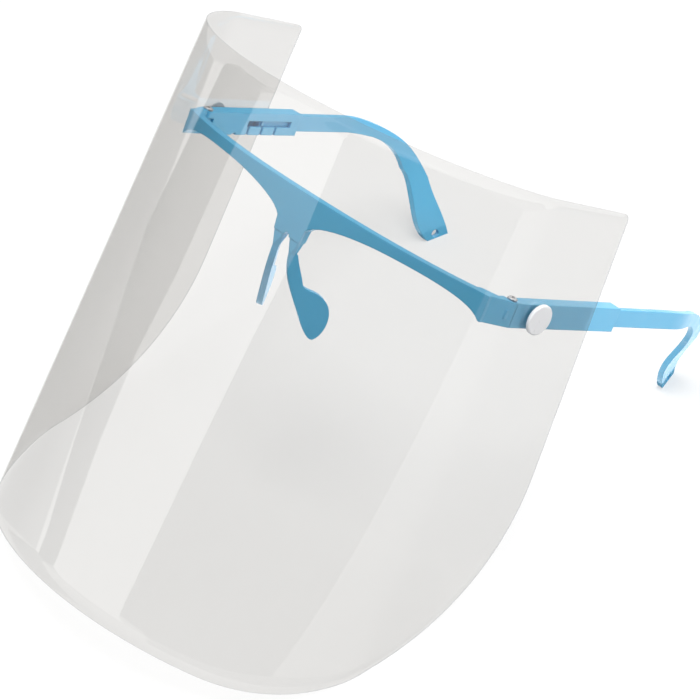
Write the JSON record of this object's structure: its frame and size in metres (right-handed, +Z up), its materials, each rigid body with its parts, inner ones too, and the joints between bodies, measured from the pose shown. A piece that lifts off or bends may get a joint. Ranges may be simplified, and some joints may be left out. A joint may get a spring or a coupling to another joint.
{
  "type": "spectacle face shield",
  "caption": "Spectacle frame with folding, length-adjustable temples and a clear curved visor film buttoned to the temples.",
  "frame": {"origin": "where the bridge rests on the nose, on the middle plane", "axes": "+Z up as worn, +Y back towards the ears, +X towards the wearer's left"},
  "size_m": [0.168, 0.2136, 0.1848],
  "materials": {
    "blue_plastic": "satin moulded plastic, light blue",
    "clear_film": "clear glossy sheet",
    "white_plastic": "satin white moulded plastic",
    "screw_steel": "plain small screw"
  },
  "bodies": {
    "frame": {"front_frame": "blue_plastic", "hinge_screw_left": "screw_steel", "hinge_screw_right": "screw_steel"},
    "visor": {"visor_film": "clear_film", "visor_button_left": "white_plastic", "visor_button_right": "white_plastic"},
    "temple_left": {"temple_sleeve_left": "blue_plastic"},
    "temple_right": {"temple_sleeve_right": "blue_plastic"},
    "arm_left": {"temple_arm_left": "blue_plastic"},
    "arm_right": {"temple_arm_right": "blue_plastic"}
  },
  "joints": [
    {"name": "temple_fold_left", "type": "hinge", "parent": "frame", "child": "temple_left", "pos_m": [0.073, 0.024, 0.004], "axis": [0, 0, 1], "range_deg": [0, 88]},
    {"name": "temple_fold_right", "type": "hinge", "parent": "frame", "child": "temple_right", "pos_m": [-0.073, 0.024, 0.004], "axis": [0, 0, -1], "range_deg": [0, 74]},
    {"name": "arm_slide_left", "type": "slide", "parent": "temple_left", "child": "arm_left", "axis": [0.0837, 0.9965, 0], "range_m": [-0.0078, 0.0078]},
    {"name": "arm_slide_right", "type": "slide", "parent": "temple_right", "child": "arm_right", "axis": [-0.0837, 0.9965, 0], "range_m": [-0.0078, 0.0078]},
    {"name": "visor_tilt", "type": "hinge", "parent": "frame", "child": "visor", "pos_m": [0, 0.03433, 0.004], "axis": [-1, 0, 0], "range_deg": [-7, 7]}
  ]
}
